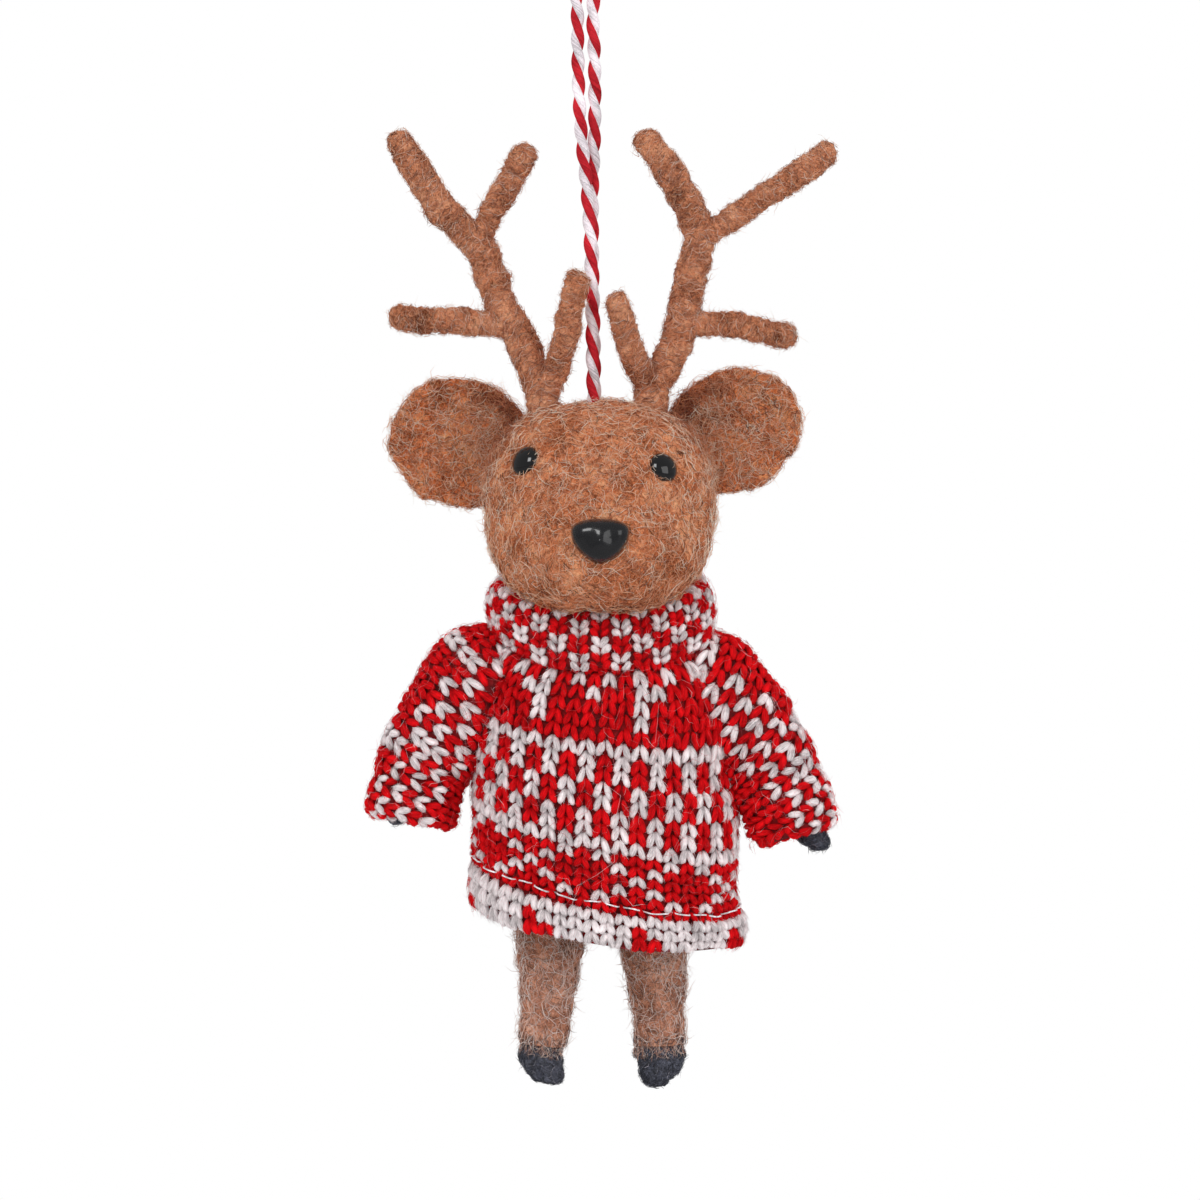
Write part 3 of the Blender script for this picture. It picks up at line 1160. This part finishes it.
yarn = yarn_material("jumper_yarn", RED_YARN, WHITE_YARN, (4, 4, 0.9), 0.25 * MM, 500)
cloth, nodes, shader = new_material("jumper_ground")
purl = nodes.noise(nodes.place(), 700, 5)
nodes.feed(shader, {"Roughness": 0.95, "Normal": nodes.bump(purl, 0.3 * MM),
                    "Base Color": nodes.ramp(purl, {0.35: (84, 4, 8), 0.7: (160, 14, 20)})})
angle = turns(180)[None, :]
share = np.linspace(0, 1, 90)[:, None]
# the rows hang lower on the right, by sag * 4 s (1 - s) * the cosine round the body
level = share * band_top(angle) + ROW_SAG * 4 * share * (1 - share) * np.cos(angle).clip(0, 1)
body_grid = jumper_skin(level, 0.4 * MM)
jumper_cloth = cloth_wall("jumper_cloth", jumper_skin(share, 0.75 * MM),
                          jumper_skin(share, 0.75 * MM + CLOTH_THICKNESS))
for side in SIGNS:
    cut_away(jumper_cloth, skin(f"{side}_bore", sleeve_tube(side, ARMHOLE_INSET, 24, 40), cloth))
body_size = cloth_size(body_grid, 45, 135)
body_map = cloth_map(body_grid)


def onto_body(x, y, h):
    """The body's cloth: its wales lean, by a + b y + c y^2 wales, and its last rows are lower."""
    lean = WALE_LEAN[0] + WALE_LEAN[1] * y + WALE_LEAN[2] * y**2
    upper = y * ROWS / TALL_ROWS
    lower = 1 - (1 - y) / (1 - TALL_ROWS / ROWS)
    y = np.where(upper < 1, upper * TALL_ROWS_SHARE,
                 TALL_ROWS_SHARE + lower * (1 - TALL_ROWS_SHARE))
    return body_map(x + lean / WALES, y, h)


jumper_yarns = knit_tube("jumper", onto_body, body_size, WALES, ROWS, winter_chart, 61,
                         keep=outside_sleeves)
fuzz = fibre_material("jumper_fuzz", FUZZ_TINTS)
fuzz_grid = jumper_skin(share, -0.15 * MM)
jumper_fuzz = fibres("jumper_fuzz", fuzz_grid, fuzz, 1500, (3, 0.045, 0.3), 0.15,
                     (0.55, 0.27, 0.1), 63, keep=outside_sleeves)
stray_hairs = fibres("jumper_stray_hairs", fuzz_grid, fuzz, 40, (8, 0.055, 0.8), 0.3,
                     (0.8, 0.14, 0.05), 64, keep=outside_sleeves)

# The hem: the lower edge turned up outside into a band, mostly white, and sewn down with a
# running stitch of thin glossy white thread just above it.

BAND_ROWS = 3
BAND_WALES = 48
BAND_STAND_OFF = 0.7 * MM
HEM_THREAD_DIAMETER = 0.22 * MM


def band_chart(wale, row):
    """Which stitches of the hem band are white: all but a red patch in every seventh wale."""
    return ~((wale % 7 == 3) & (row >= 1) | (wale % 7 == 4) & (row >= 2))


down_band = np.linspace(0, 1, 40)[:, None]
band_share = band_top(angle) + (1 - band_top(angle)) * down_band
bulge = np.sin(down_band * np.pi) ** 0.6 * BAND_STAND_OFF
band_grid = jumper_skin(band_share, 0.3 * MM - bulge)
hem_cloth = cloth_wall("hem_cloth", jumper_skin(band_share, 0.7 * MM - bulge),
                       jumper_skin(band_share, 0.75 * MM))
band_size = np.array([body_size[0], cloth_size(band_grid, 0, 135)[1]])
hem_yarns = knit_tube("hem", cloth_map(band_grid), band_size, BAND_WALES, BAND_ROWS, band_chart,
                      62, slack=0.25)
# the thread: long stitches on the cloth with short dips into it, along a row that wanders
x = np.linspace(0, 1, 900)
thread_wave = np.sin(x * 0.8 * WALES * 2 * np.pi + np.sin(x * 50))
thread_lift = np.clip(thread_wave + 0.6, -0.4, 0.35) * 1.2 * MM
thread_row = 0.975 + 0.004 * np.sin(x * 9 * 2 * np.pi) + 0.003 * np.sin(x * WALES * np.pi)
thread_path = body_map(x, thread_row, 0.3 * MM + thread_lift)
thread_silk = yarn_material("hem_thread_cotton", WHITE_COTTON, dye(250, 244, 248), (2, 2, 0.5),
                            0.03 * MM, 300)
thread_grid = tube_grid(thread_path, HEM_THREAD_DIAMETER / 2, 6, across=(0, 0, 1))
thread_marks = {"dyed": np.ones(thread_grid.shape[:2]), "strand": thread_grid / MM}
hem_thread = skin("hem_thread", thread_grid, thread_silk, thread_marks)
jumper_trim = [*jumper_yarns, jumper_fuzz, stray_hairs, hem_cloth, *hem_yarns, hem_thread]
dress("knit", "figure", jumper_cloth, *jumper_trim)
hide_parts("jumper_body")

# The collar: the neck of the jumper, knitted on and folded over once, in a chequer of one
# wale by two rows. Its stitches stand point downwards, because the fold turns them over.

COLLAR_HALF_WIDTH = 15.9 * MM
COLLAR_HALF_DEPTH = 12.7 * MM
COLLAR_WALES = 30
COLLAR_ROWS = 12
COLLAR_PROFILE = [  # inset in mm, and share of half the height, up, over and in
    [1.0, -1.04], [0.35, -0.86], [0.05, -0.5], [0.0, -0.1], [0.5, 0.45], [1.4, 0.85],
    [2.5, 1.0], [3.5, 0.85], [3.9, 0.4], [3.7, -0.1], [3.4, -0.45],
]


def collar_skin(depth):
    """The collar's cloth at a depth under its outer skin, from the flap's edge up and over.

    The section is a smooth line through the profile, moved in along its own normal.
    """
    profile = np.array(COLLAR_PROFILE) * [MM, COLLAR_HALF_HEIGHT]
    line = smooth_path(np.column_stack([profile, 0 * profile[:, 0]]), 60)[:, :2]
    step = np.gradient(line, axis=0)
    line = line + depth * unit(np.stack([step[:, 1], -step[:, 0]], axis=-1))
    inset, rise = line[:, :1], line[:, 1:] / COLLAR_HALF_HEIGHT
    plain = CROWN + np.stack([np.cos(angle) * (COLLAR_HALF_WIDTH - inset),
                              np.sin(angle) * (COLLAR_HALF_DEPTH - inset),
                              collar_level(angle) + rise * collar_half(angle)], axis=-1)
    return matted(plain, FOLDS, 70)


def chequer_chart(wale, row):
    """Which stitches of the collar are white: one wale by two rows, turn about."""
    return (wale + row // 2) % 2 == 1


collar_grid = collar_skin(0.5 * MM)
collar_cloth = cloth_wall("collar_cloth", collar_skin(0.7 * MM),
                          collar_skin(0.7 * MM + CLOTH_THICKNESS * 0.9))
collar_yarns = knit_tube("collar", cloth_map(collar_grid), cloth_size(collar_grid, 20, 135),
                         COLLAR_WALES, COLLAR_ROWS, chequer_chart, 71, slack=0.5, shift=0.5)
collar_fuzz = fibres("collar_fuzz", collar_skin(-0.2 * MM), fuzz, 700, (2.4, 0.045, 0.25), 0.12,
                     (0.6, 0.27, 0.1), 72)
dress("knit", "figure", collar_cloth, collar_fuzz, *collar_yarns)
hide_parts("collar")
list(collar_yarns)

# The sleeves: pieces of the same knitting, laid sideways, rolled round the arms and sewn
# along the underside, so that their rows run round the arm. They bend at the shoulders.

SLEEVE_WALE = 2.48 * MM
SLEEVE_ROW = 1.85 * MM
CUFF_ROLL = 1.2 * MM
CREASES = [(6, 0.22)]
SLEEVE_LAYS = {  # the stitches' fall round and along it, seam, fan, first wale and row, seed
    "left": (-0.98, 0.2, 0.42, 0, 5, 13, 80),
    "right": (0.93, 0.37, 0.08, 0.22, 0, 5, 90),
}


def sleeve_chart(wale, row):
    """Which sleeve stitches are white: bars in a red band, then a chequer of single stitches."""
    turn = row % 12
    bars = (wale % 6 == 0) & (turn > 2) & (turn < 6)
    return bars | (turn > 5) & ((wale + turn) % 2 == 0) | (turn == 8) & (wale % 6 < 3)


for side, (around_fall, along_fall, seam, fan, first_wale, first_row, seed) in SLEEVE_LAYS.items():
    tube = matted(sleeve_tube(side, 0.35 * MM, roll=CUFF_ROLL), CREASES, seed)
    outer = matted(sleeve_tube(side, 0.7 * MM, roll=CUFF_ROLL - 0.3 * MM), CREASES, seed)
    sleeve_cloth = skin(f"{side}_sleeve_cloth",
                        np.concatenate([outer, sleeve_tube(side, 1.5 * MM)[::-1]]), cloth)
    cut_away(sleeve_cloth, skin(f"{side}_block", jumper_skin(share, 0.9 * MM), cloth))
    size = cloth_size(tube, 50, 54)
    fall = unit(np.array([around_fall, along_fall]))
    across, down = np.meshgrid(np.arange(-40, 41), np.arange(-60, 61), indexing="ij")
    across, down = across.ravel(), down.ravel()
    apex = across[:, None] * SLEEVE_WALE * np.array([-fall[1], fall[0]])
    apex = apex + down[:, None] * SLEEVE_ROW * fall
    middle = apex + 0.8 * SLEEVE_ROW * fall
    held = (middle > [0, 0.05 * size[1]]).all(axis=1)
    held &= (middle < size - [0, 0.2 * SLEEVE_WALE]).all(axis=1)

    def onto_sleeve(x, y, h, seam=seam, fan=fan * size[0] / size[1], onto_tube=cloth_map(tube)):
        """The sleeve's cloth, its seam turned to the back, its wales fanned out from the front."""
        return onto_tube(x + seam, y + fan * (1 - 2 * y) * (x + seam - 0.75), h)

    yarns = knit(f"{side}_sleeve", onto_sleeve, size, apex[held], fall,
                 sleeve_chart(across[held] + first_wale, down[held] + first_row),
                 SLEEVE_WALE, SLEEVE_ROW, seed + 1, outside_jumper)
    fuzz_grid = matted(sleeve_tube(side, -0.2 * MM), CREASES, seed)
    sleeve_fuzz = fibres(f"{side}_sleeve_fuzz", fuzz_grid, fuzz, 800, (2.6, 0.045, 0.25), 0.12,
                         (0.55, 0.27, 0.1), seed + 3, keep=outside_jumper)
    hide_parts(f"{side}_sleeve")
    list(yarns)
    for piece in (sleeve_cloth, sleeve_fuzz, *yarns):
        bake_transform(piece)

# The arms: wire with felt wound round it, a ball of felt at the shoulder, hidden in the
# sleeves down to the wrists.

ARM_LENGTH = 22 * MM
SHOULDER_RADIUS = 4.2 * MM
WRIST_RADIUS = 2.8 * MM
ARM_TAPER = ([0, 0.3, 0.6, 0.85, 1], [0, 0.05, 0.3, 0.8, 1])
ARM_SHARES = {
    "left": [[0, 0, 0], [0.17, 0.01, 0.2], [0.3, 0.03, 0.37], [0.385, 0.05, 0.51],
             [0.435, 0.06, 0.63]],
    "right": [[0, 0, 0], [0.163, 0.01, 0.228], [0.31, 0.03, 0.452], [0.4, 0.05, 0.7],
              [0.49, 0.06, 0.823]],
}
limb_ends = {}
for side, shares in ARM_SHARES.items():
    path, radius = tapered(arm_places(side, shares, ARM_LENGTH), 60, SHOULDER_RADIUS,
                           WRIST_RADIUS, ARM_TAPER)
    limb_ends[side, "hand"] = (path[-1], unit(path[-1] - path[-2]))
    grid = wound(*domed(path, radius, root=True), 200)
    felted(f"{side}_arm", "felt", grid, wrapped_wool, f"{side}_arm", "felt_tan", f"{side}_arm")

# The legs: wire with wool wound round it, a ball of felt at the hip, straight and a little
# narrower down to the ankle, hairier than the antlers.

HIP = np.array([6.8, 0, -62.2]) * MM
LEG_LENGTH = 27.6 * MM
HIP_RADIUS = 5.1 * MM
ANKLE_RADIUS = 3.3 * MM
LEG_TAPER = ([0, 0.25, 0.5, 0.75, 1], [0, 0.05, 0.28, 0.78, 1])
LEGS = {  # shares of the length out and down, share of the ankle's girth, first seed
    "left": ([[0, 0], [-0.01, 0.25], [0.01, 0.5], [0.022, 0.76], [0.05, 1]], 0.96, 210),
    "right": ([[0, 0], [0.01, 0.25], [0.025, 0.5], [0.045, 0.76], [0.055, 1]], 1.0, 220),
}
LEG_TINTS = {0: (100, 62, 46), 0.3: (164, 110, 88), 0.6: (212, 162, 142), 0.8: (240, 208, 192),
             1: (255, 242, 236)}
leg_wool = felt_material("leg_wool", (104, 62, 44), (206, 138, 108), (244, 188, 160))
leg_fibre = fibre_material("leg_fibre", LEG_TINTS)
leg_grids = {}
for side, (shares, girth, seed) in LEGS.items():
    out, down = np.array(shares).T * LEG_LENGTH
    places = CROWN + np.stack([SIGNS[side] * (HIP[0] + out), 0 * out, HIP[2] - down], axis=1)
    path, radius = tapered(places, 100, HIP_RADIUS, ANKLE_RADIUS * girth, LEG_TAPER)
    limb_ends[side, "foot"] = (path[-1], unit(path[-1] - path[-2]))
    grid = wound(*domed(path, radius, root=True), seed, 1.9 * MM, 0.08 * MM, 56)
    leg_grids[side] = grid
    felted(f"{side}_leg", "wool", grid, leg_wool, f"{side}_leg", "wool_wrap", f"{side}_leg",
           curls=(leg_fibre, 2600, (2.4, 0.1, 0.22), 0.08, (0.5, 0.3, 0.14), seed + 1),
           hairs=(leg_fibre, 1300, (3.4, 0.08, 0.5), 0.35, (0.9, 0.12, 0.05), seed + 2))

# The hooves: blue-black felt on the wire's ends, blunt and round at the hands, and on the
# feet drawn into a toe that points forward. Hairs of the leg and the hoof mix at the ankle.

HOOF_LENGTH = 5.6 * MM
HOOF_RADIUS = 3.4 * MM
HOOF_TOE = 1.6 * MM
HOOF_SHARES = {"left": 0.86, "right": 0.97}
TOE_TURNS = {"left": 1.4 * MM, "right": 0.64 * MM}
ANKLE_SEAM_REACH = 1.1 * MM
HAND_LENGTH = 4.6 * MM
HAND_RADIUS = 2.3 * MM
SEAT_GAP = 0.1 * MM
HOOF_SWELL = ([0, 0.3, 0.7, 1], [0.95, 1.03, 0.88, 0.62])
HOOF_TINTS = {0: (20, 21, 26), 0.4: (58, 60, 70), 0.75: (108, 110, 124), 1: (190, 184, 196)}
dark_felt = felt_material("dark_felt", (28, 29, 35), (76, 78, 90), (122, 124, 138))
dark_fibre = fibre_material("dark_fibre", HOOF_TINTS)


def hoof(side, name, places, count, size, body, amount, seed):
    """A hoof of felt on a limb's end, along places, with its curls. Gives its grid."""
    path = smooth_path(np.array(places), count)
    radius = size * np.interp(np.linspace(0, 1, count), *HOOF_SWELL)
    grid = matted(tube_grid(*domed(path, radius, 10), 48), [(2.5, 0.14), (1, 0.07)], seed)
    node = f"{side}_{name}_hoof"
    felted(node, "felt", grid, dark_felt, node, "felt_dark", body,
           curls=(dark_fibre, amount, (1.5, 0.09, 0.16), 0.1, (0.45, 0.2, 0.15), seed + 1))
    return grid


for side in SIGNS:
    first = 5 if side == "left" else 0
    ankle, way = limb_ends[side, "foot"]
    toe = ankle + [-SIGNS[side] * TOE_TURNS[side], -HOOF_TOE, -HOOF_LENGTH + HOOF_RADIUS * 0.56]
    heel = ankle + way * (SEAT_GAP + HOOF_LENGTH * 0.3)
    foot_grid = hoof(side, "foot", [ankle + way * SEAT_GAP, heel, toe], 40,
                     HOOF_RADIUS * LEGS[side][1] * HOOF_SHARES[side], f"{side}_leg", 900,
                     300 + first)
    wrist, arm_way = limb_ends[side, "hand"]
    steps = np.array([SEAT_GAP, HAND_LENGTH / 2, HAND_LENGTH - HAND_RADIUS / 2])
    hoof(side, "hand", wrist + steps[:, None] * arm_way, 30, HAND_RADIUS, f"{side}_arm", 500,
         310 + first)

    def near_ankle(place):
        """Whether places lie close to the seam between the leg's wool and the hoof."""
        return np.abs((place - ankle) @ way) < ANKLE_SEAM_REACH

    seed = 330 if side == "left" else 335
    over = fibres(f"{side}_ankle_hairs", foot_grid, leg_fibre, 1000, (2.2, 0.08, 0.2), 0.2,
                  (0.7, 0.2, 0.1), seed, np.pi / 2, 0.5, near_ankle)
    fringe = fibres(f"{side}_ankle_fringe", leg_grids[side], dark_fibre, 5000,
                    (1.8, 0.08, 0.15), 0.1, (0.4, 0.2, 0.1), seed + 1, np.pi / 2, 0.6,
                    near_ankle)
    dress("wool_wrap", f"{side}_leg", over)
    dress("felt_dark", f"{side}_leg", fringe)

# The wires: bright annealed steel, one branched wire for each antler and one down each arm
# and leg. The felt hides them, and they show only where it gapes.

steel, nodes, shader = new_material("wire_steel")
scuffs = nodes.remap(nodes.noise(nodes.place(), 2500, 2), 0, 1, 0.25, 0.5)
nodes.feed(shader, {"Metallic": 1, "Base Color": dye(150, 150, 154), "Roughness": scuffs})
for side in SIGNS:
    for wire in ("antler_wire", "arm_wire", "leg_wire"):
        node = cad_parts[f"{side}_{wire}"]
        node.data.materials.clear()
        node.data.materials.append(steel)
